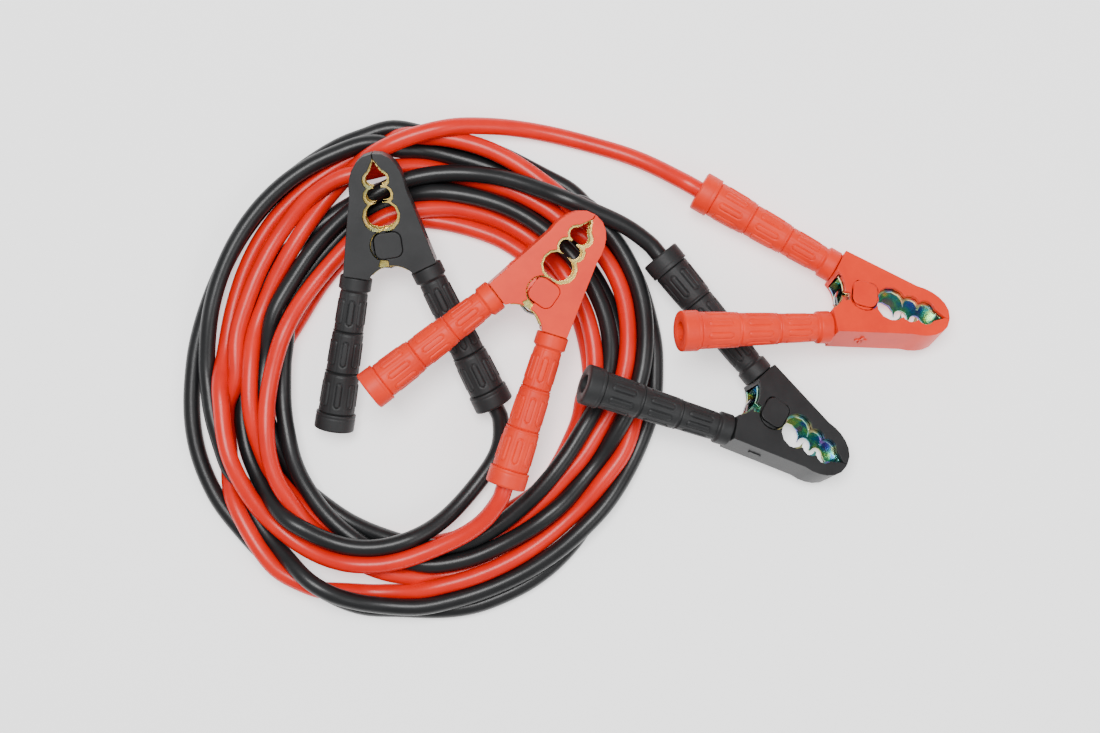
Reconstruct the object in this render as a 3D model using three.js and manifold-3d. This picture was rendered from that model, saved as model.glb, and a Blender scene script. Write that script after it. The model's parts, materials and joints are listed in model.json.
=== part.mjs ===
// Car jumper cables: a red and a black copper cable wound together in one loose round coil,
// with a spring clamp on each of their four ends. Millimetres, +Z up, lying on the floor z = 0.

import * as THREE from 'three';
import * as BufferGeometryUtils from 'three/addons/utils/BufferGeometryUtils.js';
import Module from 'manifold-3d';

const wasm = await Module();
wasm.setup();

// Fits
const GAP = 0.3;
const CUT = 1;
const DEG = Math.PI / 180;

// Cable and coil
const CABLE_D = 11.5;
const COIL_INNER_R = 88;
const COIL_OUTER_R = 168;
const COIL_LAYERS = 2.2;
const COIL_EDGE_LAYERS = 1;
const COIL_INNER_SHOULDER = 27;
const COIL_OUTER_SHOULDER = 22;
const COIL_SEGMENTS = 36;
const LEAD_STEP = 14;
const LEAD_SIDES = 10;

// Clamp outline, seen flat: +X to the jaw tip, the pivot at the origin, one half on each side of the X axis
const TIP_X = 61;
const JAW_SHOULDER_X = 36;
const JAW_HALF_WIDTH = 18.6;
const TIP_CORNER_X = 52;
const TIP_CORNER_Y = 14.6;
const COLLAR_X = -18.5;
const COLLAR_Y = 23;
const HANDLE_ANGLE = 17.5 * DEG;
const COVER_END_WIDTH = 17;
const REAR_X = -13.5;
const SEAM = 0.2;

// Clamp thickness, from the middle plane outwards
const COVER_HALF = 12;
const LEAD_CAVITY_HALF = 9;
const STEEL = 1.4;
const SPINE_WALL = 2.5;
const END_WALL = 3;

// Jaw window: round bites in each half, then a wedge to the tip
const BITES = [
  { x: 19.6, y: 1.9, r: 10.6 },
  { x: 33.2, y: 3.4, r: 6.7 },
  { x: 43.8, y: 2.9, r: 6.2 },
];
const WEDGE_START_X = 46.5;
const WEDGE_HALF_WIDTH = 6.6;
const WEDGE_END_X = 57.5;
const STEEL_REVEAL = 1.8;
const REAR_REVEAL = 0.8;
const TOOTH_R = 0.75;
const TOOTH_COUNT = 3;

// Pivot
const KNUCKLE_R = 10;
const PIN_R = 3;
const OPENING_ANGLE = 24;
const SWING_CLEARANCE = 4;
const SWING_MARGIN = 1.1;
const CAP_WIDTH = 18;
const CAP_LENGTH = 17;
const CAP_CORNER_R = 5;
const CAP_OFFSET_Y = 1.5;
const CAP_RECESS = 1.4;
const CAP_PROUD = 1;

// Torsion spring, hanging round the pin
const SPRING_WIRE_D = 2;
const SPRING_INNER_R = 9.4;
const SPRING_TURNS = 2;
const SPRING_PITCH = 3.2;
const SPRING_LEG = 7;
const SPRING_SIDES = 5;
const SPRING_STEPS_PER_TURN = 12;
const SPRING_HANG = 0.7;

// Handle grip: a collar, three stepped segments and an end collar, with a bore for tang and cable
const GRIP_LENGTH = 105;
const COLLAR_LENGTH = 9;
const COLLAR_R = 10.8;
const SEGMENT_LENGTH = 28;
const SEGMENT_R = [9.9, 11, 12.2];
const SEGMENT_TAPER = 0.5;
const END_COLLAR_R = 13.4;
const TANG_WIDTH = 10;
const TANG_HALF = 4.4;
const TANG_LENGTH = 55;
const TANG_ROOT = 5;
const GRIP_SIDES = 12;

// A place at a radius and angle round the coil's centre
function onRing(radius, angle, z) {
  return [radius * Math.cos(angle * DEG), radius * Math.sin(angle * DEG), z];
}

// How each clamp lies: pivot from the coil's centre, heading of the tip, then pitch and roll in degrees.
// side is +1 where the free half lies left of the heading, -1 where it lies right.
// A positive pitch lifts the tip and a positive roll lifts the free half.
const COIL_TOP = COIL_LAYERS * CABLE_D;
const COIL_FLAT = 0.7;
const RED = 0xe02313;
const BLACK = 0x2b2c2e;
const CLAMPS = [
  {
    name: 'red_clamp_1', colour: RED, side: -1,
    at: onRing(COIL_OUTER_R + 129.81, 9.178, null), heading: -14.3, pitch: -9, roll: 28,
  },
  {
    name: 'red_clamp_2', colour: RED, side: 1,
    at: [82.2, 55.5, COIL_TOP + 24.3], heading: 55, pitch: 0.6, roll: 6.4,
  },
  {
    name: 'black_clamp_1', colour: BLACK, side: -1,
    at: onRing(COIL_OUTER_R + 66.8, -7.0947, null), heading: -34.5, pitch: -8, roll: 24,
  },
  {
    name: 'black_clamp_2', colour: BLACK, side: 1,
    at: [-19.9, 87.3, COIL_TOP + 12.7], heading: 98.3, pitch: 11, roll: 0,
  },
];

// Cable leads from each lead grip to the coil, as the points that follow the grip's own end point
const LEADS = {
  red_clamp_1: [
    onRing(COIL_OUTER_R + 40.74, 42.864, 9),
    onRing(COIL_OUTER_R + 27.6, 52.895, 6.3),
    onRing(COIL_OUTER_R + 15.81, 63.852, 6.1),
    onRing(COIL_OUTER_R + CABLE_D / 2 - COIL_FLAT, 73.827, 6.1),
  ],
  red_clamp_2: [
    onRing(COIL_INNER_R + 14.58, -60.186, COIL_TOP + 10.7),
    onRing(COIL_INNER_R + 20.24, -73.909, COIL_TOP + CABLE_D / 2 - 2.75),
  ],
  black_clamp_1: [onRing(COIL_OUTER_R - 1.36, 29.596, COIL_TOP - 7)],
  black_clamp_2: [
    onRing(COIL_INNER_R - 21.67, -40.413, 9),
    onRing(COIL_INNER_R - 13.19, -52.058, 6.3),
    onRing(COIL_INNER_R - CABLE_D / 2 + COIL_FLAT, -61.554, 6.1),
  ],
};

// Materials
function plastic(colour) {
  return new THREE.MeshStandardMaterial({ color: colour, roughness: 0.45, metalness: 0 });
}

function plated(colour) {
  return new THREE.MeshStandardMaterial({ color: colour, roughness: 0.3, metalness: 1 });
}

// Solids
function toSolid(geometry) {
  const bare = geometry.clone();
  bare.deleteAttribute('normal');
  bare.deleteAttribute('uv');
  const merged = BufferGeometryUtils.mergeVertices(bare, 1e-4);
  return new wasm.Manifold(new wasm.Mesh({
    numProp: 3,
    vertProperties: new Float32Array(merged.attributes.position.array),
    triVerts: new Uint32Array(merged.index.array),
  }));
}

function toGeometry(solid) {
  const mesh = solid.getMesh();
  const geometry = new THREE.BufferGeometry();
  geometry.setAttribute('position', new THREE.BufferAttribute(mesh.vertProperties, 3));
  geometry.setIndex(new THREE.BufferAttribute(mesh.triVerts, 1));
  geometry.computeVertexNormals();
  return geometry;
}

// A shape extruded symmetrically about the clamp's middle plane, or from low to high
function slab(shape, low, high, segments = 3) {
  const geometry = new THREE.ExtrudeGeometry(shape, {
    depth: high - low,
    bevelEnabled: false,
    curveSegments: segments,
  });
  geometry.translate(0, 0, low);
  return toSolid(geometry);
}

function disc(x, y, radius, low, high, segments = 8) {
  const shape = new THREE.Shape();
  shape.absarc(x, y, radius, 0, 2 * Math.PI, false);
  return slab(shape, low, high, segments);
}

function polygon(points) {
  return new THREE.Shape(points.map(([x, y]) => new THREE.Vector2(x, y)));
}

// The handle's own frame: s along the handle from the collar's face, n outwards across it
function handlePoint(s, n) {
  return [
    COLLAR_X - s * Math.cos(HANDLE_ANGLE) + n * Math.sin(HANDLE_ANGLE),
    COLLAR_Y + s * Math.sin(HANDLE_ANGLE) + n * Math.cos(HANDLE_ANGLE),
  ];
}

// Centre of the concave arc between the handles, through the rear point and the cover's inner corner
function rearArc() {
  const [cornerX, cornerY] = handlePoint(0, -COVER_END_WIDTH / 2);
  const x = (cornerX * cornerX + cornerY * cornerY - REAR_X * REAR_X) / (2 * (cornerX - REAR_X));
  return { x, r: REAR_X - x };
}

// Where an arc between the handles meets the line across the handle at endStart
function arcMeetsEnd(endStart, arcX, arcR) {
  const [x, y] = handlePoint(endStart, 0);
  const along = (x - arcX) * Math.sin(HANDLE_ANGLE) + y * Math.cos(HANDLE_ANGLE);
  const square = (x - arcX) ** 2 + y * y - arcR * arcR;
  return handlePoint(endStart, Math.sqrt(along * along - square) - along);
}

// The outer edge from the tip to the jaw's shoulder, drawn in by inset
function outerEdge(shape, inset) {
  shape.bezierCurveTo(TIP_X - inset, TIP_CORNER_Y / 2, TIP_CORNER_X + 5, TIP_CORNER_Y - inset - 3,
    TIP_CORNER_X, TIP_CORNER_Y - inset);
  shape.quadraticCurveTo(TIP_CORNER_X - 7, JAW_HALF_WIDTH - inset, JAW_SHOULDER_X, JAW_HALF_WIDTH - inset);
}

// One half's flat outline on the +Y side, from the tip round to the concave arc between the handles
function halfOutline(inset, endStart, rearReveal) {
  const arc = rearArc();
  const arcR = arc.r - rearReveal;
  const [outerX, outerY] = handlePoint(endStart, COVER_END_WIDTH / 2 - inset);
  const [innerX, innerY] = arcMeetsEnd(endStart, arc.x, arcR);
  const shape = new THREE.Shape();
  shape.moveTo(TIP_X - inset, SEAM);
  outerEdge(shape, inset);
  shape.lineTo(outerX, outerY);
  shape.lineTo(innerX, innerY);
  const start = Math.atan2(innerY, innerX - arc.x);
  shape.absarc(arc.x, 0, arcR, start, Math.asin(SEAM / arcR), true);
  return shape;
}

// The hollow between one half's cheeks: its outer edge follows the outline, and it is open everywhere else
function hollowOutline(inset, endStart) {
  const [outerX, outerY] = handlePoint(endStart, COVER_END_WIDTH / 2 - inset);
  const [openX, openY] = handlePoint(endStart, -COLLAR_Y - CUT);
  const shape = new THREE.Shape();
  shape.moveTo(TIP_X - inset, -CUT);
  shape.lineTo(TIP_X - inset, SEAM);
  outerEdge(shape, inset);
  shape.lineTo(outerX, outerY);
  shape.lineTo(openX, openY);
  return shape;
}

// The jaw window's cut in one half; shrink narrows it where the steel shows inside the cover
function windowCut(shrink) {
  const far = COVER_HALF + CUT;
  let cut = slab(polygon([
    [WEDGE_START_X, -CUT],
    [WEDGE_END_X - shrink, -CUT],
    [WEDGE_END_X - shrink, SEAM],
    [WEDGE_START_X, WEDGE_HALF_WIDTH - shrink],
  ]), -far, far);
  for (const bite of BITES) {
    cut = cut.add(disc(bite.x, bite.y, bite.r - shrink, -far, far, 6));
  }
  return cut.add(slab(polygon([
    [BITES[0].x - 1, -CUT],
    [WEDGE_START_X + 1, -CUT],
    [WEDGE_START_X + 1, BITES[2].y],
    [BITES[0].x - 1, BITES[0].y],
  ]), -far, far));
}

// Small round gullets between the teeth, along the sloping edge that closes on the other jaw
function toothGullets() {
  const far = COVER_HALF + CUT;
  const start = new THREE.Vector2(WEDGE_START_X, WEDGE_HALF_WIDTH - STEEL_REVEAL);
  const end = new THREE.Vector2(WEDGE_END_X - STEEL_REVEAL, SEAM);
  let cut = null;
  for (let i = 0; i < TOOTH_COUNT; i += 1) {
    const at = start.clone().lerp(end, (i + 0.6) / TOOTH_COUNT);
    const gullet = disc(at.x, at.y, TOOTH_R, -far, far, 2);
    cut = cut ? cut.add(gullet) : gullet;
  }
  return cut;
}

function handleBar(start, end, halfWidth, halfHeight) {
  return slab(polygon([
    handlePoint(start, -halfWidth),
    handlePoint(start, halfWidth),
    handlePoint(end, halfWidth),
    handlePoint(end, -halfWidth),
  ]), -halfHeight, halfHeight);
}

// The pivot cap's rounded rectangle, grown by clearance on every side for its recess
function capOutline(clearance) {
  const corner = CAP_CORNER_R + clearance;
  const x = CAP_LENGTH / 2 + clearance - corner;
  const y = CAP_WIDTH / 2 + clearance - corner;
  const shape = new THREE.Shape();
  shape.absarc(x, CAP_OFFSET_Y - y, corner, -Math.PI / 2, 0, false);
  shape.absarc(x, CAP_OFFSET_Y + y, corner, 0, Math.PI / 2, false);
  shape.absarc(-x, CAP_OFFSET_Y + y, corner, Math.PI / 2, Math.PI, false);
  shape.absarc(-x, CAP_OFFSET_Y - y, corner, Math.PI, 1.5 * Math.PI, false);
  return shape;
}

// Plastic cover of one half: two flat cheeks and the spine wall round its outer edge
function coverSolid(cavityHalf) {
  return slab(halfOutline(0, 0, 0), -COVER_HALF, COVER_HALF)
    .subtract(windowCut(0))
    .subtract(slab(hollowOutline(SPINE_WALL, -END_WALL), -cavityHalf, cavityHalf))
    .subtract(handleBar(-2 * END_WALL, CUT, TANG_WIDTH / 2 + GAP, TANG_HALF + GAP));
}

// The lead half's cover carries the round knuckle over the pivot and the recesses of its caps
function leadCover() {
  let cover = coverSolid(LEAD_CAVITY_HALF);
  for (const sign of [-1, 1]) {
    const low = Math.min(sign * LEAD_CAVITY_HALF, sign * COVER_HALF);
    const recessLow = Math.min(sign * (COVER_HALF - CAP_RECESS), sign * (COVER_HALF + CUT));
    cover = cover
      .add(disc(0, 0, KNUCKLE_R, low, low + COVER_HALF - LEAD_CAVITY_HALF))
      .subtract(slab(capOutline(GAP), recessLow, recessLow + CAP_RECESS + CUT, 2));
  }
  return cover;
}

// The free half's cover turns round the knuckle and stays clear of the lead half as the handles close
function freeCover() {
  const far = COVER_HALF + CUT;
  const start = Math.PI - (OPENING_ANGLE + SWING_CLEARANCE) * DEG;
  const swing = new THREE.Shape();
  const swingR = SWING_MARGIN - REAR_X;
  swing.moveTo(0, 0);
  swing.lineTo(swingR * Math.cos(start), swingR * Math.sin(start));
  swing.absarc(0, 0, swingR, start, Math.PI + SWING_CLEARANCE * DEG, false);
  return coverSolid(freeCavityHalf())
    .subtract(disc(0, 0, KNUCKLE_R + 2 * GAP, -far, far, 9))
    .subtract(slab(swing, -far, far, 3));
}

function freeCavityHalf() {
  return LEAD_CAVITY_HALF - STEEL - GAP;
}

// Plated steel channel of one half: two toothed cheeks, a web along the spine and the tang in the grip
function steelSolid(outerHalf) {
  const inset = SPINE_WALL + GAP;
  const start = -END_WALL - GAP;
  const innerHalf = outerHalf - STEEL;
  return slab(halfOutline(inset, start, REAR_REVEAL), -outerHalf, outerHalf)
    .subtract(windowCut(STEEL_REVEAL))
    .subtract(toothGullets())
    .subtract(slab(hollowOutline(inset + STEEL, CUT), -innerHalf, innerHalf))
    .add(disc(0, 0, KNUCKLE_R - GAP, innerHalf, outerHalf))
    .add(disc(0, 0, KNUCKLE_R - GAP, -outerHalf, -innerHalf))
    .subtract(disc(0, 0, PIN_R + GAP, -outerHalf - CUT, outerHalf + CUT, 5))
    .add(handleBar(start - TANG_ROOT, start, TANG_WIDTH / 2, outerHalf))
    .add(handleBar(start - 1, TANG_LENGTH, TANG_WIDTH / 2, TANG_HALF));
}

function capGeometry(sign) {
  const bottom = COVER_HALF - CAP_RECESS + GAP;
  const top = COVER_HALF + CAP_PROUD;
  const low = Math.min(sign * bottom, sign * top);
  return toGeometry(slab(capOutline(0), low, low + top - bottom, 2));
}

function pinGeometry() {
  const geometry = new THREE.CylinderGeometry(PIN_R, PIN_R, 2 * (LEAD_CAVITY_HALF - GAP), 16);
  return geometry.rotateX(Math.PI / 2);
}

// The spring's wire: a leg along one handle, the turns, and a leg along the other handle
class SpringCurve extends THREE.Curve {
  constructor() {
    super();
    this.radius = SPRING_INNER_R + SPRING_WIRE_D / 2;
    this.centreX = PIN_R + SPRING_HANG - SPRING_INNER_R;
    this.start = -(Math.PI / 2 - HANDLE_ANGLE);
    this.sweep = 2 * Math.PI * SPRING_TURNS - 2 * this.start;
    this.rise = SPRING_PITCH * this.sweep / (2 * Math.PI);
    this.arc = this.sweep * this.radius;
  }

  getPoint(t, target = new THREE.Vector3()) {
    const along = t * (this.arc + 2 * SPRING_LEG) - SPRING_LEG;
    const onTurns = THREE.MathUtils.clamp(along, 0, this.arc);
    const angle = this.start + onTurns / this.radius;
    const leg = along - onTurns;
    return target.set(
      this.centreX + this.radius * Math.cos(angle) - leg * Math.sin(angle),
      this.radius * Math.sin(angle) + leg * Math.cos(angle),
      this.rise * (onTurns / this.arc - 0.5),
    );
  }
}

function wireSection(diameter, sides) {
  const points = [];
  for (let i = 0; i < sides; i += 1) {
    const angle = (2 * Math.PI * i) / sides;
    points.push(new THREE.Vector2(diameter / 2 * Math.cos(angle), diameter / 2 * Math.sin(angle)));
  }
  return new THREE.Shape(points);
}

function springGeometry() {
  const steps = SPRING_STEPS_PER_TURN * (SPRING_TURNS + 1);
  return new THREE.ExtrudeGeometry(wireSection(SPRING_WIRE_D, SPRING_SIDES), {
    steps,
    extrudePath: new SpringCurve(),
  });
}

// Grip turned about its own axis, which then points along the handle on the +Y side
function gripGeometry() {
  const cableR = CABLE_D / 2 + GAP;
  const tangR = Math.hypot(TANG_WIDTH / 2, TANG_HALF) + GAP;
  const profile = [[tangR, 0], [COLLAR_R, 0], [COLLAR_R, COLLAR_LENGTH]];
  SEGMENT_R.forEach((radius, i) => {
    const low = COLLAR_LENGTH + i * SEGMENT_LENGTH;
    profile.push([radius - SEGMENT_TAPER, low], [radius, low + SEGMENT_LENGTH]);
  });
  const endStart = COLLAR_LENGTH + SEGMENT_R.length * SEGMENT_LENGTH;
  profile.push([END_COLLAR_R, endStart], [END_COLLAR_R, GRIP_LENGTH]);
  profile.push([cableR, GRIP_LENGTH], [cableR, TANG_LENGTH + CUT], [tangR, TANG_LENGTH + CUT], [tangR, 0]);
  const points = profile.map(([r, s]) => new THREE.Vector2(r, s));
  const geometry = new THREE.LatheGeometry(points, GRIP_SIDES);
  const [x, y] = handlePoint(GAP, 0);
  geometry.rotateZ(Math.PI / 2 - HANDLE_ANGLE);
  geometry.translate(x, y, 0);
  return geometry;
}

// A copy of a +Y half's geometry, reflected to the lead side with its faces still pointing out
function reflected(geometry) {
  const copy = geometry.index ? geometry.toNonIndexed() : geometry.clone();
  copy.scale(1, -1, 1);
  const position = copy.attributes.position;
  for (let i = 0; i < position.count; i += 3) {
    const a = new THREE.Vector3().fromBufferAttribute(position, i + 1);
    const b = new THREE.Vector3().fromBufferAttribute(position, i + 2);
    position.setXYZ(i + 1, b.x, b.y, b.z);
    position.setXYZ(i + 2, a.x, a.y, a.z);
  }
  copy.deleteAttribute('normal');
  copy.deleteAttribute('uv');
  const merged = BufferGeometryUtils.mergeVertices(copy, 1e-4);
  merged.computeVertexNormals();
  return merged;
}

function named(name, geometry, material) {
  const mesh = new THREE.Mesh(geometry, material);
  mesh.name = name;
  return mesh;
}

const leadCoverGeometry = toGeometry(leadCover());
const freeCoverGeometry = toGeometry(freeCover());
const leadSteelGeometry = toGeometry(steelSolid(LEAD_CAVITY_HALF - GAP));
const freeSteelGeometry = toGeometry(steelSolid(freeCavityHalf() - GAP));

// One clamp in its own flat frame: the free half on +Y, the lead half on -Y
function buildClamp(name, colour) {
  const clamp = new THREE.Group();
  const cover = plastic(colour);
  const grip = plastic(colour);
  const steel = plated(0xc9b26a);
  const wire = plated(0xb9bcc0);
  clamp.add(
    named(`${name}_lead_cover`, reflected(leadCoverGeometry), cover.clone()),
    named(`${name}_free_cover`, freeCoverGeometry.clone(), cover.clone()),
    named(`${name}_lead_jaw`, reflected(leadSteelGeometry), steel.clone()),
    named(`${name}_free_jaw`, freeSteelGeometry.clone(), steel.clone()),
    named(`${name}_lead_grip`, reflected(gripGeometry()), grip.clone()),
    named(`${name}_free_grip`, gripGeometry(), grip.clone()),
    named(`${name}_pivot_pin`, pinGeometry(), wire.clone()),
    named(`${name}_spring`, springGeometry(), wire.clone()),
    named(`${name}_cap_top`, reflected(capGeometry(1)), cover.clone()),
    named(`${name}_cap_bottom`, reflected(capGeometry(-1)), cover.clone()),
  );
  return clamp;
}

// Lays a clamp down: its tip along the heading, pitched and rolled, and on the floor where z is null
function placeClamp(clamp, place) {
  const [pivotX, pivotY, pivotZ] = place.at;
  const heading = place.heading * DEG;
  const pitch = place.pitch * DEG;
  const roll = place.roll * DEG;
  const tip = new THREE.Vector3(
    Math.cos(heading) * Math.cos(pitch), Math.sin(heading) * Math.cos(pitch), Math.sin(pitch));
  const level = new THREE.Vector3(-Math.sin(heading), Math.cos(heading), 0).multiplyScalar(place.side);
  const raised = new THREE.Vector3().crossVectors(tip, level).multiplyScalar(place.side);
  const free = level.multiplyScalar(Math.cos(roll)).addScaledVector(raised, Math.sin(roll));
  const normal = new THREE.Vector3().crossVectors(tip, free);
  clamp.quaternion.setFromRotationMatrix(new THREE.Matrix4().makeBasis(tip, free, normal));
  clamp.position.set(pivotX, pivotY, pivotZ ?? 0);
  clamp.updateMatrixWorld(true);
  if (pivotZ === null) {
    clamp.position.z = -new THREE.Box3().setFromObject(clamp, true).min.z;
    clamp.updateMatrixWorld(true);
  }
}

// A bare cable tube from the lead grip's end along its chosen points
function leadGeometry(clamp, points) {
  const [x, y] = handlePoint(GRIP_LENGTH + 2 * GAP, 0);
  const [nextX, nextY] = handlePoint(GRIP_LENGTH + CABLE_D / 2, 0);
  const start = clamp.localToWorld(new THREE.Vector3(x, -y, 0));
  const next = clamp.localToWorld(new THREE.Vector3(nextX, -nextY, 0));
  const route = [start, next, ...points.map((p) => new THREE.Vector3(...p))];
  const path = new THREE.CatmullRomCurve3(route, false, 'centripetal');
  return new THREE.ExtrudeGeometry(wireSection(CABLE_D, LEAD_SIDES), {
    steps: Math.max(2, Math.ceil(path.getLength() / LEAD_STEP)),
    extrudePath: path,
  });
}

// The coil's outer shape: a flat-bottomed ring, one layer high at its edges and full height between them
function coilGeometry() {
  const edge = COIL_EDGE_LAYERS * CABLE_D;
  const top = COIL_TOP;
  const chamfer = CABLE_D / 2;
  const profile = [
    [COIL_INNER_R, chamfer],
    [COIL_INNER_R + chamfer / 2, 0],
    [COIL_OUTER_R - chamfer / 2, 0],
    [COIL_OUTER_R, chamfer],
    [COIL_OUTER_R, edge],
    [COIL_OUTER_R - COIL_OUTER_SHOULDER, top],
    [COIL_INNER_R + COIL_INNER_SHOULDER, top],
    [COIL_INNER_R, edge],
    [COIL_INNER_R, chamfer],
  ];
  const geometry = new THREE.LatheGeometry(profile.map(([r, z]) => new THREE.Vector2(r, z)), COIL_SEGMENTS);
  return geometry.rotateX(Math.PI / 2);
}

const model = new THREE.Group();
const clampGroup = new THREE.Group();
const leadGroup = new THREE.Group();
for (const place of CLAMPS) {
  const clamp = buildClamp(place.name, place.colour);
  placeClamp(clamp, place);
  leadGroup.add(named(`${place.name}_lead`, leadGeometry(clamp, LEADS[place.name]), plastic(place.colour)));
  clampGroup.add(clamp);
}
model.add(clampGroup, leadGroup, named('cable_coil', coilGeometry(), plastic(0x2b2c2e)));

// The origin is under the middle of the four clamps, on the floor
const middle = new THREE.Box3().setFromObject(clampGroup, true).getCenter(new THREE.Vector3());
model.position.set(-middle.x, -middle.y, 0);
model.updateMatrixWorld(true);

export default model;
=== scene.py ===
"""Car jumper cables, dressed: two coiled cables and four battery clamps, metres, +Z up."""
import bpy
import bmesh
import json
import math
import numpy as np
from mathutils import Matrix, Vector
from mathutils.bvhtree import BVHTree


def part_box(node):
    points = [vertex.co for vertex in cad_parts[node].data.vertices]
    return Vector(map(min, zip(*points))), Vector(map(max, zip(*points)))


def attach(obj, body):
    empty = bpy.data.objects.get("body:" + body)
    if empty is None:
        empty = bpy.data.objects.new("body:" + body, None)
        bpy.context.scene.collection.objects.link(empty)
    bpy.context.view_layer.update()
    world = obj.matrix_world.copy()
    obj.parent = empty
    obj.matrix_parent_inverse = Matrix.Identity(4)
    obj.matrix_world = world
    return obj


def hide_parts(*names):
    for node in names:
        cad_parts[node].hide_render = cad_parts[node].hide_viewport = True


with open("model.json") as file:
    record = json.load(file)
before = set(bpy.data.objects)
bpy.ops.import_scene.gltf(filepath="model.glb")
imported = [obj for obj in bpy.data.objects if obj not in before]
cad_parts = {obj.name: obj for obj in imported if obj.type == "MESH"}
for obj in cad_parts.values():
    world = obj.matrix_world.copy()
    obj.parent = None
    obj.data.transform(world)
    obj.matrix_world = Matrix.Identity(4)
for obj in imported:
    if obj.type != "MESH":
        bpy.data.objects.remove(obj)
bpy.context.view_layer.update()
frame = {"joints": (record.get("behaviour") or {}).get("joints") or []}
coil_low, coil_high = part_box("cable_coil")
CENTRE = Vector(((coil_low[0] + coil_high[0]) / 2, (coil_low[1] + coil_high[1]) / 2, 0.0))
HINGES = {joint["name"]: joint for joint in frame["joints"]}

# Heading and pitch of each clamp's tip in degrees, from part.mjs
CLAMPS = {
    "red_clamp_1": (-14.3, -9.0),
    "red_clamp_2": (55.0, 0.6),
    "black_clamp_1": (-34.5, -8.0),
    "black_clamp_2": (98.3, 11.0),
}
# Sizes from part.mjs
CABLE_D = 0.0115
HANDLE_ANGLE = math.radians(17.5)
COLLAR_X, COLLAR_Y = -0.0185, 0.023
GRIP_LENGTH = 0.105
GAP = 0.0003


def placement(clamp):
    """The clamp's frame in the model: its pivot, X to the tip and Z along the hinge's axis."""
    heading, pitch = (math.radians(a) for a in CLAMPS[clamp])
    hinge = HINGES[clamp + "_pivot"]
    x = Vector((math.cos(heading) * math.cos(pitch), math.sin(heading) * math.cos(pitch), math.sin(pitch)))
    z = Vector(hinge["axis"])
    m = Matrix((x, z.cross(x), z)).transposed().to_4x4()
    m.translation = hinge["pos_m"]
    return m


def halves(clamp):
    """Name, side and body of the clamp's two halves."""
    return ("lead", -1, "cables"), ("free", 1, clamp + "_free_half")


def handle_point(s, n=0.0, side=1):
    """A point of the handle, s along it and n outwards, in the clamp's frame; side -1 is the lead half."""
    x = COLLAR_X - s * math.cos(HANDLE_ANGLE) + n * math.sin(HANDLE_ANGLE)
    y = COLLAR_Y + s * math.sin(HANDLE_ANGLE) + n * math.cos(HANDLE_ANGLE)
    return Vector((x, side * y, 0.0))


# Camera
CAMERA_AT = (-0.05425, -0.03007, 1.45)
camera_data = bpy.data.cameras.new("camera")
camera = bpy.data.objects.new("camera", camera_data)
bpy.context.scene.collection.objects.link(camera)
camera.location = CAMERA_AT
camera.rotation_euler = (0.0, 0.0, 0.0)
camera_data.lens = 69.8
camera_data.sensor_width = 36.0
camera_data.clip_end = 20.0
bpy.context.scene.camera = camera

# Cable routes
# The photo's pixel on the floor, and the height of the coil's cables as a share of the camera's
PHOTO_PIXEL = 0.68e-3
RISE = 15 / 1450
# Pole of the routes and centre of the view in pixels, and the view's centre from the coil's in metres
POLE = (420, 366.5)
VIEW = (550, 375)
VIEW_SHIFT = (0.0884, 0.0058)
# Each route from one clamp to the other: angle in degrees round the pole, and radius in pixels
BLACK_ROUTE = [
    (38, 237.5), (50, 227), (57, 220), (70, 212), (80, 206), (90, 200), (100, 191), (110, 182), (120, 173),
    (130, 166), (140, 162), (150, 160), (160, 158), (170, 158), (180, 158), (190, 160), (200, 163), (220, 167),
    (240, 171), (260, 175), (280, 177), (290, 173), (300, 169), (310, 167), (320, 166), (330, 168), (340, 171),
    (350, 177), (360, 190), (370, 195), (380, 196), (390, 195), (400, 194), (410, 192.5), (420, 191),
    (430, 188), (440, 185), (450, 182), (460, 177), (470, 170), (480, 162), (490, 155), (500, 152), (510, 150),
    (520, 145), (530, 139), (540, 137), (550, 140), (560, 145), (570, 151), (580, 158), (590, 165), (600, 172),
    (610, 178), (620, 184), (630, 189), (640, 190), (650, 189), (660, 189), (670, 189), (680, 190.5),
    (690, 195), (700, 203), (710, 209), (720, 222), (730, 230), (740, 236), (750, 238), (760, 235), (770, 228),
    (780, 220), (790, 216), (800, 221), (810, 229), (820, 236), (830, 238), (840, 237), (850, 234), (860, 230),
    (870, 225), (880, 221), (890, 217), (900, 214), (910, 212), (920, 211), (930, 214), (940, 220), (950, 227),
    (960, 233), (970, 236), (980, 234), (990, 231), (1000, 228), (1010, 225), (1020, 224), (1030, 224),
    (1040, 225), (1050, 227), (1060, 231), (1070, 233), (1080, 235), (1090, 232), (1120, 231), (1140, 229),
    (1150, 230), (1160, 233), (1170, 236), (1190, 238), (1200, 237), (1210, 234), (1220, 231), (1230, 227),
    (1250, 226), (1260, 230), (1270, 235), (1280, 239), (1290, 240), (1300, 239), (1310, 238), (1330, 237),
    (1350, 236), (1360, 238), (1370, 237), (1380, 235), (1390, 230), (1400, 222), (1420, 212), (1440, 205),
    (1460, 203), (1480, 200), (1500, 197), (1530, 190), (1560, 185), (1590, 184), (1620, 187), (1640, 190),
    (1654, 194), (1659, 193.5), (1667, 192.6), (1678, 190), (1690, 184), (1701, 173.5), (1715, 154.6),
    (1730, 132), (1746, 111), (1759, 98),
]
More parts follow.
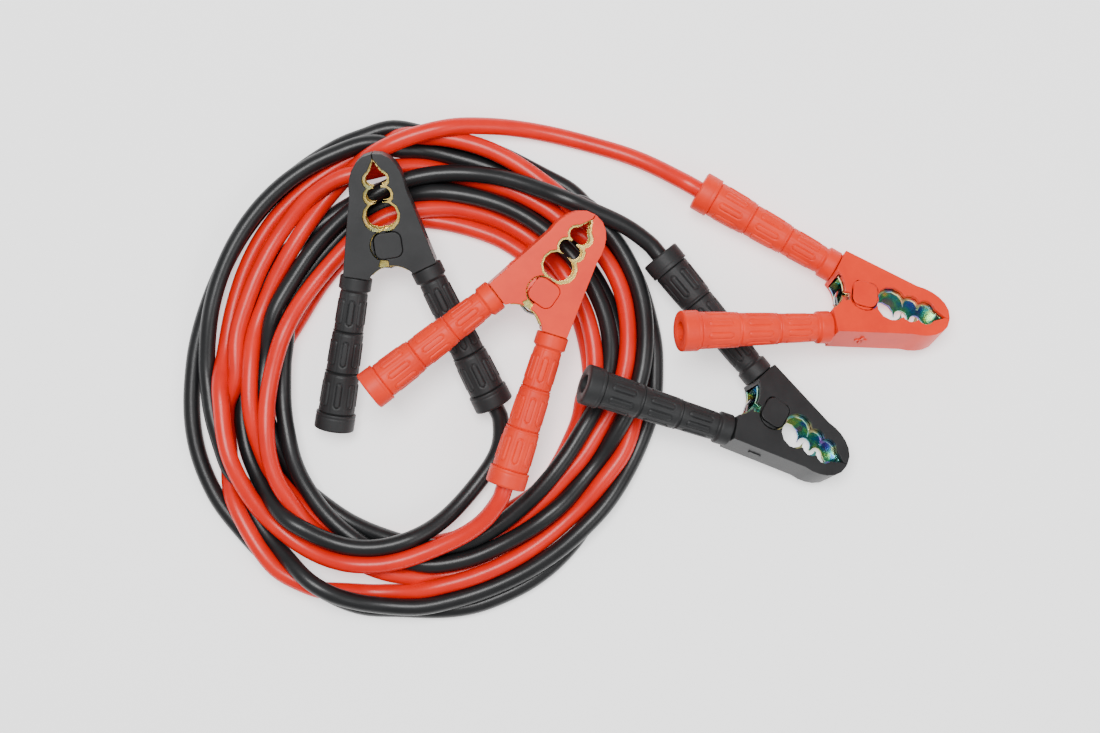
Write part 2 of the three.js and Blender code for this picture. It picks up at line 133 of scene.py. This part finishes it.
# Stretches of each route that lie beneath other turns, in degrees
BLACK_UNDER = [(195, 285), (516, 535), (616, 634), (756, 818), (927, 934), (1086, 1255), (1306, 1364),
               (1396, 1630)]
RED_ROUTE = [
    (43, 309), (53, 289), (64, 272), (74, 260), (80, 252), (85, 246), (90, 240), (95, 234), (100, 228),
    (105, 222), (110, 214), (115, 206), (120, 198), (130, 185), (140, 177), (150, 173), (160, 171), (170, 170),
    (180, 170), (190, 171), (200, 173), (210, 177), (220, 180), (240, 184), (260, 183), (280, 179), (300, 174),
    (320, 171), (340, 174), (350, 175), (360, 176), (380, 178), (400, 176), (410, 177.5), (420, 176),
    (430, 174), (440, 171), (450, 169), (460, 166), (470, 158), (480, 148), (490, 142), (500, 140), (510, 140),
    (520, 141), (530, 143), (540, 147), (550, 154), (560, 163), (570, 172), (580, 180), (590, 186), (600, 190),
    (610, 195), (620, 200), (630, 203), (640, 202), (650, 198), (660, 192), (680, 183), (700, 177), (720, 172),
    (740, 171), (750, 169), (760, 165), (770, 161), (780, 160), (790, 158), (800, 157), (810, 158), (820, 160),
    (830, 155), (840, 148), (850, 143), (870, 141), (890, 144), (900, 149), (920, 164), (940, 179), (960, 188),
    (980, 190), (1000, 187), (1020, 180), (1030, 178), (1040, 178), (1050, 182), (1060, 188), (1068, 194),
    (1080, 205), (1090, 212), (1100, 219), (1110, 221), (1120, 217), (1130, 211), (1140, 208), (1150, 206),
    (1160, 208), (1170, 212), (1180, 215), (1190, 214), (1200, 211), (1210, 203), (1220, 197), (1230, 191),
    (1240, 188), (1250, 186), (1260, 185), (1270, 193), (1280, 204), (1287, 217), (1300, 231), (1310, 238),
    (1320, 240), (1330, 234), (1340, 223), (1350, 214), (1360, 211), (1370, 208), (1380, 207), (1390, 207),
    (1400, 208), (1410, 211), (1420, 217), (1430, 220), (1440, 222), (1450, 226), (1460, 228), (1480, 229),
    (1493, 227), (1502, 231), (1510, 235.5), (1517, 238), (1522, 239), (1530, 239), (1540, 236), (1550, 230),
    (1560, 224), (1570, 218), (1580, 212), (1590, 206), (1600, 201), (1610, 197), (1620, 196.5), (1631, 200),
    (1640, 206), (1651, 207.6), (1661, 209), (1670, 209), (1681, 207), (1691, 200), (1701, 190), (1712, 176.5),
    (1725, 162.4), (1739, 152.8),
]
RED_UNDER = [(214, 355), (596, 614), (646, 744), (826, 1026), (1146, 1164), (1265, 1284), (1326, 1334),
             (1435, 1486), (1526, 1544)]
# Spacing of the points while they settle, and then along the tube
STEP, TUBE_STEP = 0.005, 0.004
# Where a cable runs straight in its grip and out of it, from the grip's end
STUB_DEPTHS = (-0.016, -0.006, 0.004, 0.012)
# A route's end points, this many at most, give way to a bend where they lie this close to the stub
END_POINTS, STUB_CLEAR = 60, 0.05


def smooth_route(angles, radii):
    """Cubic interpolation of the radius over the angle, through every given point."""
    fine, out = [], []
    n = len(angles)
    slope = [0.0] * n
    for i in range(1, n - 1):
        slope[i] = (radii[i + 1] - radii[i - 1]) / (angles[i + 1] - angles[i - 1])
    for i in range(n - 1):
        span = angles[i + 1] - angles[i]
        pieces = max(2, int(span / 1.2))
        for k in range(pieces):
            t = k / pieces
            h00, h10 = 2 * t ** 3 - 3 * t ** 2 + 1, t ** 3 - 2 * t ** 2 + t
            h01, h11 = -2 * t ** 3 + 3 * t ** 2, t ** 3 - t ** 2
            fine.append(angles[i] + span * t)
            out.append(h00 * radii[i] + h10 * span * slope[i] + h01 * radii[i + 1] + h11 * span * slope[i + 1])
    fine.append(angles[-1])
    out.append(radii[-1])
    return np.array(fine), np.array(out)


def resample(points, step, *tracks):
    """Evenly spaced points along a polyline, with any tracks that run beside it."""
    lengths = np.concatenate([[0.0], np.cumsum(np.linalg.norm(np.diff(points, axis=0), axis=1))])
    count = max(2, int(round(lengths[-1] / step)))
    at = np.linspace(0.0, lengths[-1], count + 1)
    new = np.stack([np.interp(at, lengths, points[:, i]) for i in range(3)], axis=1)
    return (new, *[np.interp(at, lengths, t) for t in tracks])


def lead_stub(clamp):
    """Points of the cable in the lead grip's bore and straight out of its end, inside first."""
    m = placement(clamp)
    return [np.array(m @ handle_point(GRIP_LENGTH + d, side=-1)) for d in STUB_DEPTHS]


def eased(before, start, end, after):
    """Points of a soft bend from one heading to another, without its ends."""
    span = np.linalg.norm(end - start)
    a = (start - before) / np.linalg.norm(start - before) * span * 1.1
    b = (after - end) / np.linalg.norm(after - end) * span * 1.1
    t = np.linspace(0, 1, 12)[1:-1, None]
    return ((2 * t ** 3 - 3 * t ** 2 + 1) * start + (t ** 3 - 2 * t ** 2 + t) * a
            + (3 * t ** 2 - 2 * t ** 3) * end + (t ** 3 - t ** 2) * b)


def cable_route(first, last, route, under):
    """Start points, how visible each is (1 on top, 0 beneath), and which points stay fixed."""
    angle, radius = smooth_route([a for a, _ in route], [r for _, r in route])
    unit = PHOTO_PIXEL * (1 - RISE)
    x = VIEW_SHIFT[0] + ((POLE[0] - VIEW[0]) + radius * np.cos(np.radians(angle))) * unit + CENTRE[0]
    y = VIEW_SHIFT[1] + ((POLE[1] - VIEW[1]) + radius * np.sin(np.radians(angle))) * unit + CENTRE[1]
    seen = np.ones(len(angle))
    for a, b in under:
        seen[(angle >= a) & (angle <= b)] = 0.0
    z = CABLE_D * (0.55 + 2.2 * seen)
    body = np.stack([x, y, z], axis=1)
    start, end = np.array(lead_stub(first)), np.array(lead_stub(last))[::-1]
    order = np.arange(len(body))
    keep = (np.linalg.norm(body[:, :2] - start[-1, :2], axis=1) > STUB_CLEAR) | (order > END_POINTS)
    keep &= (np.linalg.norm(body[:, :2] - end[0, :2], axis=1) > STUB_CLEAR) | (order < len(body) - END_POINTS)
    body, seen = body[keep], seen[keep]
    lead_in = eased(start[-2], start[-1], body[0], body[3])
    lead_out = eased(end[1], end[0], body[-1], body[-4])[::-1]
    points = np.concatenate([start, lead_in, body, lead_out, end])
    stub = len(STUB_DEPTHS)
    seen = np.concatenate([np.ones(stub + len(lead_in)), seen, np.ones(len(lead_out) + stub)])
    fixed = np.zeros(len(points))
    fixed[:stub] = fixed[-stub:] = 1
    points, seen, fixed = resample(points, STEP, seen, fixed)
    for _ in range(6):
        points[1:-1, 2] = 0.25 * points[:-2, 2] + 0.5 * points[1:-1, 2] + 0.25 * points[2:, 2]
    for _ in range(10):
        inner = points[1:-1, :2] + 0.25 * (points[:-2, :2] + points[2:, :2] - 2 * points[1:-1, :2])
        free = fixed[1:-1] < 0.99
        points[1:-1, :2][free] = inner[free]
    return points, seen, fixed > 0.99


# What the settling cables keep clear of: a grip's radius, and half a clamp's thickness
GRIP_CLEAR, CLAMP_CLEAR = 0.0125, 0.0128
# A clamp's body seen flat: its ends, its half width, and how the tip narrows
BODY_FROM, BODY_TO, BODY_WIDE = -0.03, 0.066, 0.024
TAPER_FROM, TAPER_LENGTH, TAPER_BY = 0.036, 0.025, 0.008
SETTLE_STEPS = 420
# How far points sink in a step, up to each share of the run
SINK = ((0.35, 0.0004), (0.6, 0.00015), (1.0, 0.00004))
# Pull towards the places seen in the photo, for points on top and beneath, and stiffness along z and level
HOLD_SEEN, HOLD_UNDER = 0.10, 0.03
STIFF_Z, STIFF_XY = 0.6, 0.12
# Part of the coil that the outer clamps' handles swing over: its angles, its radius and how high cables may lie
LOW_FROM, LOW_TO, LOW_RADIUS, LOW_TOP = -8, 32, 0.172, 0.0205


def nearest_on_segment(p, a, b):
    """The points of the segment from a to b that lie nearest to each of p."""
    ab = b - a
    t = np.clip(((p - a) @ ab) / (ab @ ab), 0.0, 1.0)
    return a + t[:, None] * ab


def crowded_pairs(p, bounds):
    """Pairs of points that may come to touch: on two cables, or well apart along one."""
    cable = np.searchsorted(bounds, np.arange(len(p)), side="right")
    square = np.sum(p ** 2, axis=1)
    far = square[:, None] + square[None, :] - 2 * p @ p.T
    i, j = np.where(far < (CABLE_D * 1.7) ** 2)
    ok = (i < j) & ((cable[i] != cable[j]) | (np.abs(i - j) > 7))
    return i[ok], j[ok]


def push_apart(p, pairs):
    """Moves touching points apart, mostly up and down where one lies on the other."""
    i, j = pairs
    d = p[j] - p[i]
    dist = np.linalg.norm(d, axis=1)
    close = dist < CABLE_D
    if not close.any():
        return
    a, b, v, dd = i[close], j[close], d[close], dist[close]
    v = v / np.maximum(dd, 1e-6)[:, None]
    steep = np.abs(v[:, 2]) > 0.35
    v[steep, :2] *= 0.35
    push = v * ((CABLE_D - dd) * 0.5)[:, None]
    count = np.bincount(a, minlength=len(p)) + np.bincount(b, minlength=len(p))
    for axis in range(3):
        move = np.bincount(b, push[:, axis], len(p)) - np.bincount(a, push[:, axis], len(p))
        p[:, axis] += 1.4 * move / np.maximum(count, 1) ** 0.8


def push_below_grips(p, grips, fixed):
    """Moves points that are in a grip, or just over it, outwards and down."""
    keep = GRIP_CLEAR + CABLE_D / 2
    for a, b in grips:
        near = nearest_on_segment(p, a, b)
        v = p - near
        dist = np.linalg.norm(v, axis=1)
        hit = (dist < keep) & ~fixed & (dist > 1e-6)
        hit &= p[:, 2] < near[:, 2] + 0.002
        down = v[hit] / dist[hit][:, None]
        down[:, 2] -= 1.0
        down /= np.linalg.norm(down, axis=1)[:, None]
        p[hit] += down * ((keep - dist[hit]) * 0.6)[:, None]


def push_off_clamps(p, slabs, fixed):
    """Moves points that are in a clamp's body out through its upper or lower face, along its axis."""
    keep = CLAMP_CLEAR + CABLE_D / 2
    for inverse, at, normal in slabs:
        local = (p - at) @ inverse.T
        wide = BODY_WIDE - TAPER_BY * np.clip((local[:, 0] - TAPER_FROM) / TAPER_LENGTH, 0, 1)
        hit = (local[:, 0] > BODY_FROM) & (local[:, 0] < BODY_TO) & (np.abs(local[:, 1]) < wide + CABLE_D / 2)
        hit &= (np.abs(local[:, 2]) < keep) & ~fixed
        if hit.any():
            sign = -1.0 if normal[2] > 0 else 1.0
            depth = keep - sign * local[hit, 2]
            p[hit] += normal[None, :] * (sign * np.minimum(depth, 0.002))[:, None]


def settle(cables, steps):
    """Lets the wound cables sink onto the floor and each other, keeping near their places seen from above."""
    place, seen, fixed = (np.concatenate(track) for track in zip(*cables))
    bounds = np.cumsum([0] + [len(line) for line, _, _ in cables])
    ends = np.concatenate([bounds[:-1], bounds[1:] - 1])
    hold = np.where(seen > 0.5, HOLD_SEEN, HOLD_UNDER)
    grips, slabs = [], []
    for name in CLAMPS:
        m = placement(name)
        for side in (-1, 1):
            grips.append([np.array(m @ handle_point(s, side=side)) for s in (0.0, 0.1)])
        slabs.append((np.array(m.inverted())[:3, :3], np.array(m.translation), np.array(m.to_3x3())[:, 2]))
    p = place.copy()
    for step in range(steps):
        p[:, 2] -= next(sink for until, sink in SINK if step / steps < until)
        p[:, :2] += hold[:, None] * (place[:, :2] - p[:, :2])
        lap = np.zeros_like(p)
        lap[1:-1] = 0.5 * (p[:-2] + p[2:]) - p[1:-1]
        lap[ends] = 0.0
        p[:, 2] += STIFF_Z * lap[:, 2]
        p[:, :2] += STIFF_XY * lap[:, :2]
        if step % 20 == 0:
            pairs = crowded_pairs(p, bounds)
        for _ in range(2):
            push_apart(p, pairs)
            push_below_grips(p, grips, fixed)
            push_off_clamps(p, slabs, fixed)
        rel = p[:, :2] - np.array(CENTRE[:2])
        turn = np.degrees(np.arctan2(rel[:, 1], rel[:, 0]))
        low = (turn > LOW_FROM) & (turn < LOW_TO) & (np.hypot(rel[:, 0], rel[:, 1]) < LOW_RADIUS) & ~fixed
        p[low, 2] = np.minimum(p[low, 2], LOW_TOP)
        p[:, 2] = np.maximum(p[:, 2], CABLE_D / 2)
        p[fixed] = place[fixed]
    out = []
    for first, last in zip(bounds[:-1], bounds[1:]):
        q = p[first:last].copy()
        free = ~fixed[first:last][1:-1]
        for _ in range(4):
            inner = q[1:-1] + 0.25 * (q[:-2] + q[2:] - 2 * q[1:-1])
            q[1:-1][free] = inner[free]
        out.append(q)
    return out


# Materials
def node_of(tree, kind, **sockets):
    """A new shader node with these values on its sockets; an underscore stands for a space."""
    n = tree.nodes.new(kind)
    for key, value in sockets.items():
        n.inputs[key.replace("_", " ")].default_value = value
    return n


def finish_material(name, colour, rough, metal=0.0, mottle=0.12, grain=900.0, bump=0.06, coat=0.0, sheen=None,
                    spread=40.0):
    """Moulded plastic, cable jacket or plated metal: uneven colour and gloss, fine grain and soft waviness."""
    m = bpy.data.materials.new(name)
    m.use_nodes = True
    t = m.node_tree
    t.nodes.clear()
    out = t.nodes.new("ShaderNodeOutputMaterial")
    bsdf = t.nodes.new("ShaderNodeBsdfPrincipled")
    t.links.new(bsdf.outputs["BSDF"], out.inputs["Surface"])
    where = t.nodes.new("ShaderNodeTexCoord")
    broad = node_of(t, "ShaderNodeTexNoise", Scale=spread, Detail=4.0, Roughness=0.6)
    fine = node_of(t, "ShaderNodeTexNoise", Scale=grain, Detail=3.0, Roughness=0.55)
    for n in (broad, fine):
        t.links.new(where.outputs["Object"], n.inputs["Vector"])
    ramp = t.nodes.new("ShaderNodeValToRGB")
    ramp.color_ramp.elements[0].position, ramp.color_ramp.elements[1].position = 0.3, 0.72
    dark = [c * (1 - mottle) for c in colour]
    light = [min(1.0, c * (1 + mottle) + 0.004) for c in colour]
    ramp.color_ramp.elements[0].color = (*dark, 1)
    ramp.color_ramp.elements[1].color = (*(sheen or light), 1)
    t.links.new(broad.outputs["Fac"], ramp.inputs["Fac"])
    t.links.new(ramp.outputs["Color"], bsdf.inputs["Base Color"])
    gloss = t.nodes.new("ShaderNodeMapRange")
    gloss.inputs["To Min"].default_value, gloss.inputs["To Max"].default_value = rough * 0.82, rough * 1.2
    t.links.new(fine.outputs["Fac"], gloss.inputs["Value"])
    t.links.new(gloss.outputs["Result"], bsdf.inputs["Roughness"])
    bsdf.inputs["Metallic"].default_value = metal
    bsdf.inputs["Coat Weight"].default_value = coat
    bsdf.inputs["Coat Roughness"].default_value = 0.25
    bsdf.inputs["Specular IOR Level"].default_value = 0.32
    both = t.nodes.new("ShaderNodeMath")
    both.operation = "MULTIPLY_ADD"
    both.inputs[1].default_value = 0.6
    t.links.new(broad.outputs["Fac"], both.inputs[0])
    t.links.new(fine.outputs["Fac"], both.inputs[2])
    relief = node_of(t, "ShaderNodeBump", Strength=bump, Distance=0.0004)
    t.links.new(both.outputs["Value"], relief.inputs["Height"])
    t.links.new(relief.outputs["Normal"], bsdf.inputs["Normal"])
    return m


def zinc_material(name, stops):
    """Yellow passivated zinc: gold with films of other colours."""
    m = finish_material(name, (0.66, 0.52, 0.2), 0.24, metal=1.0, grain=1400.0, bump=0.12)
    t = m.node_tree
    bsdf = next(n for n in t.nodes if n.type == "BSDF_PRINCIPLED")
    where = next(n for n in t.nodes if n.type == "TEX_COORD")
    film = node_of(t, "ShaderNodeTexNoise", Scale=75.0, Detail=2.5, Roughness=0.5, Distortion=0.8)
    t.links.new(where.outputs["Object"], film.inputs["Vector"])
    ramp = t.nodes.new("ShaderNodeValToRGB")
    ramp.color_ramp.elements[0].position, ramp.color_ramp.elements[0].color = stops[0][0], (*stops[0][1], 1)
    ramp.color_ramp.elements[1].position, ramp.color_ramp.elements[1].color = stops[-1][0], (*stops[-1][1], 1)
    for at, colour in stops[1:-1]:
        e = ramp.color_ramp.elements.new(at)
        e.color = (*colour, 1)
    t.links.new(film.outputs["Fac"], ramp.inputs["Fac"])
    t.links.new(ramp.outputs["Color"], bsdf.inputs["Base Color"])
    return m


RED, RED_LIGHT = (0.74, 0.020, 0.0010), (0.84, 0.034, 0.0016)
BLACK, BLACK_LIGHT = (0.0125, 0.013, 0.0138), (0.022, 0.0226, 0.0236)
MATERIAL = {
    "red_cover": finish_material("red_cover", RED, 0.42, mottle=0.05, grain=2200.0, bump=0.10,
                                 sheen=RED_LIGHT),
    "black_cover": finish_material("black_cover", BLACK, 0.46, mottle=0.1, grain=2200.0, bump=0.12,
                                   sheen=BLACK_LIGHT),
    "red_grip": finish_material("red_grip", RED, 0.48, mottle=0.06, grain=1600.0, bump=0.16,
                                sheen=RED_LIGHT),
    "black_grip": finish_material("black_grip", BLACK, 0.52, mottle=0.1, grain=1600.0, bump=0.18,
                                  sheen=BLACK_LIGHT),
    "red_cable": finish_material("red_cable", (0.66, 0.006, 0.0008), 0.34, mottle=0.08, grain=700.0, bump=0.1,
                                 coat=0.06, sheen=(0.74, 0.011, 0.0012)),
    "black_cable": finish_material("black_cable", (0.007, 0.0073, 0.008), 0.36, mottle=0.1, grain=700.0,
                                   bump=0.12, coat=0.06, sheen=(0.013, 0.0135, 0.0145)),
    "gold_zinc": zinc_material("gold_zinc", [
        (0.26, (0.40, 0.52, 0.30)), (0.38, (0.62, 0.52, 0.16)), (0.5, (0.86, 0.62, 0.17)),
        (0.64, (0.92, 0.72, 0.28)), (0.78, (0.84, 0.46, 0.28))]),
    "film_zinc": zinc_material("film_zinc", [
        (0.28, (0.30, 0.12, 0.52)), (0.38, (0.14, 0.26, 0.55)), (0.46, (0.14, 0.50, 0.42)),
        (0.54, (0.42, 0.56, 0.26)), (0.64, (0.80, 0.66, 0.30)), (0.76, (0.62, 0.22, 0.50))]),
    "wire": finish_material("wire", (0.62, 0.63, 0.65), 0.22, metal=1.0, mottle=0.1, grain=1800.0, bump=0.08),
}


def add_piece(name, mesh, material, body, nodes, sharp_over=35.0):
    """A smooth-shaded piece that rides a body; edges over the angle in degrees stay sharp."""
    o = bpy.data.objects.new(name, mesh)
    bpy.context.scene.collection.objects.link(o)
    mesh.materials.clear()
    mesh.materials.append(material)
    for f in mesh.polygons:
        f.use_smooth = True
    mesh.set_sharp_from_angle(angle=math.radians(sharp_over))
    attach(o, body)
    if nodes:
        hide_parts(*nodes)
    return o


def mesh_from(name, bm):
    """A mesh from the bmesh, which is freed, with its faces turned outwards."""
    mesh = bpy.data.meshes.new(name)
    bmesh.ops.recalc_face_normals(bm, faces=bm.faces)
    bm.to_mesh(mesh)
    bm.free()
    return mesh


# Cables
def tube(points, radius, sides, wave=0.0):
    """A closed tube along the points, with the jacket's slight unevenness."""
    bm = bmesh.new()
    n = len(points)
    tangent = np.gradient(points, axis=0)
    tangent /= np.linalg.norm(tangent, axis=1)[:, None]
    up = np.array((0.0, 0.0, 1.0))
    rings = []
    for i in range(n):
        side = np.cross(tangent[i], up)
        side /= max(1e-6, np.linalg.norm(side))
        top = np.cross(side, tangent[i])
        r = radius * (1 + wave * math.sin(i * 0.37) * math.sin(i * 0.11 + 1.0))
        ring = []
        for k in range(sides):
            a = 2 * math.pi * k / sides
            ring.append(bm.verts.new(points[i] + r * (math.cos(a) * side + math.sin(a) * top)))
        rings.append(ring)
    for i in range(n - 1):
        for k in range(sides):
            m = (k + 1) % sides
            bm.faces.new((rings[i][k], rings[i][m], rings[i + 1][m], rings[i + 1][k]))
    bm.faces.new(rings[0])
    bm.faces.new(rings[-1][::-1])
    return bm


black_line, red_line = settle([
    cable_route("black_clamp_1", "black_clamp_2", BLACK_ROUTE, BLACK_UNDER),
    cable_route("red_clamp_1", "red_clamp_2", RED_ROUTE, RED_UNDER),
], SETTLE_STEPS)
for colour, line in (("black", black_line), ("red", red_line)):
    line, = resample(line, TUBE_STEP)
    mesh = mesh_from(colour + "_cable", tube(line, CABLE_D / 2, 20, 0.006))
    first, last = colour + "_clamp_1", colour + "_clamp_2"
    piece = add_piece(colour + "_cable", mesh, MATERIAL[colour + "_cable"], "cables",
                      ["cable_coil", first + "_lead", last + "_lead"], 60.0)
    leaves = placement(first) @ handle_point(GRIP_LENGTH, side=-1)


# Clamp covers, jaws and caps
COVER_EDGE, JAW_EDGE, CAP_EDGE = 0.00045, 0.0001, 0.0006


def softened(node, width):
    """A copy of a CAD mesh with its flat faces joined and its edges rounded."""
    bm = bmesh.new()
    bm.from_mesh(bpy.data.objects[node].data)
    bm.transform(bpy.data.objects[node].matrix_world)
    bmesh.ops.remove_doubles(bm, verts=bm.verts, dist=0.00022)
    bm.verts.index_update()
    bmesh.ops.dissolve_degenerate(bm, edges=bm.edges, dist=0.00005)
    seen = {}
    for face in bm.faces:
        seen.setdefault(frozenset(v.index for v in face.verts), []).append(face)
    twins = [face for same in seen.values() if len(same) > 1 for face in same]
    bmesh.ops.delete(bm, geom=twins, context="FACES")
    bmesh.ops.dissolve_limit(bm, angle_limit=math.radians(2.0), verts=bm.verts, edges=bm.edges)
    edges = [e for e in bm.edges if len(e.link_faces) == 2 and e.calc_face_angle(0.0) > math.radians(40)]
    bmesh.ops.bevel(bm, geom=edges, offset=width, offset_type="OFFSET", segments=2, profile=0.5,
                    affect="EDGES", clamp_overlap=False)
    return mesh_from(node + "_shape", bm)


for clamp in CLAMPS:
    colour = clamp.split("_")[0]
    zinc = "film_zinc" if clamp.endswith("_1") else "gold_zinc"
    free = clamp + "_free_half"
    for part, body, width, material, slot in (
            ("lead_cover", "cables", COVER_EDGE, colour + "_cover", colour + "_plastic"),
            ("free_cover", free, COVER_EDGE, colour + "_cover", colour + "_plastic"),
            ("lead_jaw", "cables", JAW_EDGE, zinc, "plated_steel"),
            ("free_jaw", free, JAW_EDGE, zinc, "plated_steel"),
            ("cap_top", "cables", CAP_EDGE, colour + "_cover", colour + "_plastic"),
            ("cap_bottom", "cables", CAP_EDGE, colour + "_cover", colour + "_plastic")):
        node = clamp + "_" + part
        piece = add_piece(node + "_dressed", softened(node, width), MATERIAL[material], body, [node])
        normals = piece.modifiers.new("normals", "WEIGHTED_NORMAL")
        normals.keep_sharp = True
        normals.weight = 100
    for part in ("pivot_pin", "spring"):
        o = bpy.data.objects[clamp + "_" + part]
        for s in o.material_slots:
            s.material = MATERIAL["wire"]


# Handle grips, in millimetres
GRIP_END = 105.0
COLLAR_RADIUS, COLLAR_END = 10.8, 9.0
SEGMENT_RADII, SEGMENT, SEGMENT_FLARE = (9.9, 11.0, 12.2), 28.0, 0.55
PADS = 8
OUTLINE_AT, OUTLINE_HALF, OUTLINE_RADIUS = 15.0, 6.3, 2.1
TAIL_RADIUS, TAIL_START = 13.4, 93.0
BORE_RADIUS, BORE_END = 6.1, 62.0
FACETS = 136


def rounded(distance, radius):
    """How far a rounded end falls back at this distance from it."""
    d = np.clip(distance, 0.0, radius)
    return radius - np.sqrt(np.maximum(radius ** 2 - (radius - d) ** 2, 0.0))


def groove(distance, half_width, depth):
    """How deep a round groove is at this distance from its middle."""
    return depth * np.clip(1.0 - (np.abs(distance) / half_width) ** 2, 0.0, 1.0)


def grip_surface():
    """Vertices and faces of one grip, metres: along the handle, then across it and through it."""
    s = np.arange(0.0, GRIP_END + 0.01, 0.5)
    phi = np.linspace(0.0, 2 * math.pi, FACETS + 1)[:-1]
    ss, pp = np.meshgrid(s, phi, indexing="ij")
    r = COLLAR_RADIUS - rounded(ss, 0.9) - rounded(COLLAR_END - ss, 0.7) * (ss <= COLLAR_END)
    turn = 2 * math.pi / PADS
    for i, big in enumerate(SEGMENT_RADII):
        u = ss - (COLLAR_END + SEGMENT * i)
        v = (np.mod(pp + turn / 2, turn) - turn / 2) * big
        pad = big - SEGMENT_FLARE + SEGMENT_FLARE * np.clip(u / 27.0, 0, 1)
        pad = pad - rounded(u, 0.6) - rounded(SEGMENT - u, 0.8)
        pad = pad - groove(turn * big / 2 - np.abs(v), 0.6, 0.14) * (u > 1.2)
        pad = pad - groove(u - 1.4, 0.9, 0.5)
        ring = np.hypot(np.maximum(np.abs(u - OUTLINE_AT) - OUTLINE_HALF, 0.0), v) - OUTLINE_RADIUS
        pad = pad + 0.32 * np.clip(0.5 - ring / 0.5, 0.0, 1.0) - groove(ring, 0.6, 0.6)
        r = np.where((u > 0) & (u <= SEGMENT), pad, r)
    tail = TAIL_RADIUS - rounded(ss - TAIL_START, 1.0) - rounded(GRIP_END - ss, 1.4)
    r = np.where(ss > TAIL_START, tail - 0.25 * groove(ss - 95.6, 0.6, 1), r)
    rings = [(0.0, np.full(FACETS, 6.6)), *zip(s, r)]
    rings += [(GRIP_END, np.full(FACETS, 7.0)), (GRIP_END - 0.7, np.full(FACETS, BORE_RADIUS)),
              (BORE_END, np.full(FACETS, BORE_RADIUS))]
    verts = np.concatenate([
        np.stack([np.full(FACETS, a), b * np.cos(phi), b * np.sin(phi)], axis=1) for a, b in rings])
    k = np.arange(FACETS)
    faces = []
    for i in range(len(rings) - 1):
        a, b = i * FACETS + k, i * FACETS + (k + 1) % FACETS
        faces.append(np.stack([a, b, b + FACETS, a + FACETS], axis=1))
    return verts / 1000.0, np.concatenate(faces)


grip_verts, grip_faces = grip_surface()
for clamp in CLAMPS:
    colour = clamp.split("_")[0]
    m = placement(clamp)
    for half, side, body in halves(clamp):
        base = handle_point(GAP, 0.0, side)
        along = (handle_point(1.0, 0.0, side) - handle_point(0.0, 0.0, side)).normalized()
        across = Vector((0.0, 0.0, 1.0))
        out = along.cross(across)
        rot = np.array((along, out, across)).T
        pts = grip_verts @ rot.T + np.array(base)
        world = pts @ np.array(m.to_3x3()).T + np.array(m.translation)
        mesh = bpy.data.meshes.new(clamp + "_" + half + "_grip_shape")
        mesh.from_pydata(world.tolist(), [], grip_faces.tolist())
        mesh.update()
        add_piece(clamp + "_" + half + "_grip_dressed", mesh, MATERIAL[colour + "_grip"], body,
                  [clamp + "_" + half + "_grip"], 50.0)


# Polarity marks on the spines
MARK_LONG, MARK_WIDE, MARK_HIGH = 0.0042, 0.0010, 0.0014
MARK_X = 0.004

for clamp in CLAMPS:
    colour = clamp.split("_")[0]
    m = placement(clamp)
    for half, side, body in halves(clamp):
        shape = bpy.data.objects[clamp + "_" + half + "_cover_dressed"].data
        tree = BVHTree.FromPolygons([v.co for v in shape.vertices], [f.vertices for f in shape.polygons])
        origin, target = m @ Vector((MARK_X, side * 0.06, 0.0)), m @ Vector((MARK_X, 0.0, 0.0))
        spot, normal, _, _ = tree.ray_cast(origin, (target - origin).normalized())
        across = (m.to_3x3() @ Vector((0, 0, 1))).normalized()
        along = normal.cross(across).normalized()
        bm = bmesh.new()
        bars = [(MARK_LONG, MARK_WIDE)]
        if colour == "red":
            bars.append((MARK_WIDE, MARK_LONG))
        for a, b in bars:
            made = bmesh.ops.create_cube(bm, size=1.0)
            for v in made["verts"]:
                x, y, z = v.co
                v.co = spot + along * (x * 2 * a) + across * (y * 2 * b) + normal * (z * MARK_HIGH)
        bmesh.ops.bevel(bm, geom=list(bm.edges), offset=0.0002, segments=2, affect="EDGES")
        add_piece(clamp + "_" + half + "_mark", mesh_from(clamp + "_" + half + "_mark_shape", bm),
                  MATERIAL[colour + "_cover"], body, [])


# Floor and light
FLOOR = 4

floor_mesh = bpy.data.meshes.new("floor")
corners = [(-FLOOR, -FLOOR, 0), (FLOOR, -FLOOR, 0), (FLOOR, FLOOR, 0), (-FLOOR, FLOOR, 0)]
floor_mesh.from_pydata(corners, [], [(0, 1, 2, 3)])
floor = bpy.data.objects.new("floor", floor_mesh)
bpy.context.scene.collection.objects.link(floor)
paper = finish_material("floor", (0.93, 0.93, 0.93), 0.8, mottle=0.003, grain=60.0, bump=0.0)
floor_mesh.materials.append(paper)
floor_light = next(n for n in paper.node_tree.nodes if n.type == "BSDF_PRINCIPLED")
floor_light.inputs["Emission Color"].default_value = (1.0, 1.0, 1.0, 1.0)
floor_light.inputs["Emission Strength"].default_value = 0.8

world = bpy.data.worlds.new("world")
bpy.context.scene.world = world
world.use_nodes = True
world.node_tree.nodes["Background"].inputs["Color"].default_value = (1.0, 1.0, 1.0, 1.0)
world.node_tree.nodes["Background"].inputs["Strength"].default_value = 0.55


def soft_light(name, at, size, watts):
    """A rectangular lamp that faces the model's origin."""
    data = bpy.data.lights.new(name, "AREA")
    data.shape = "RECTANGLE"
    data.size, data.size_y = size
    data.energy = watts
    o = bpy.data.objects.new(name, data)
    bpy.context.scene.collection.objects.link(o)
    o.location = at
    o.rotation_euler = (Vector((0, 0, 0)) - Vector(at)).to_track_quat("-Z", "Y").to_euler()


soft_light("key", at=(-0.25, 0.45, 2.3), size=(1.1, 0.8), watts=62.0)
soft_light("fill", at=(1.3, -0.6, 1.7), size=(1.4, 1.0), watts=14.0)
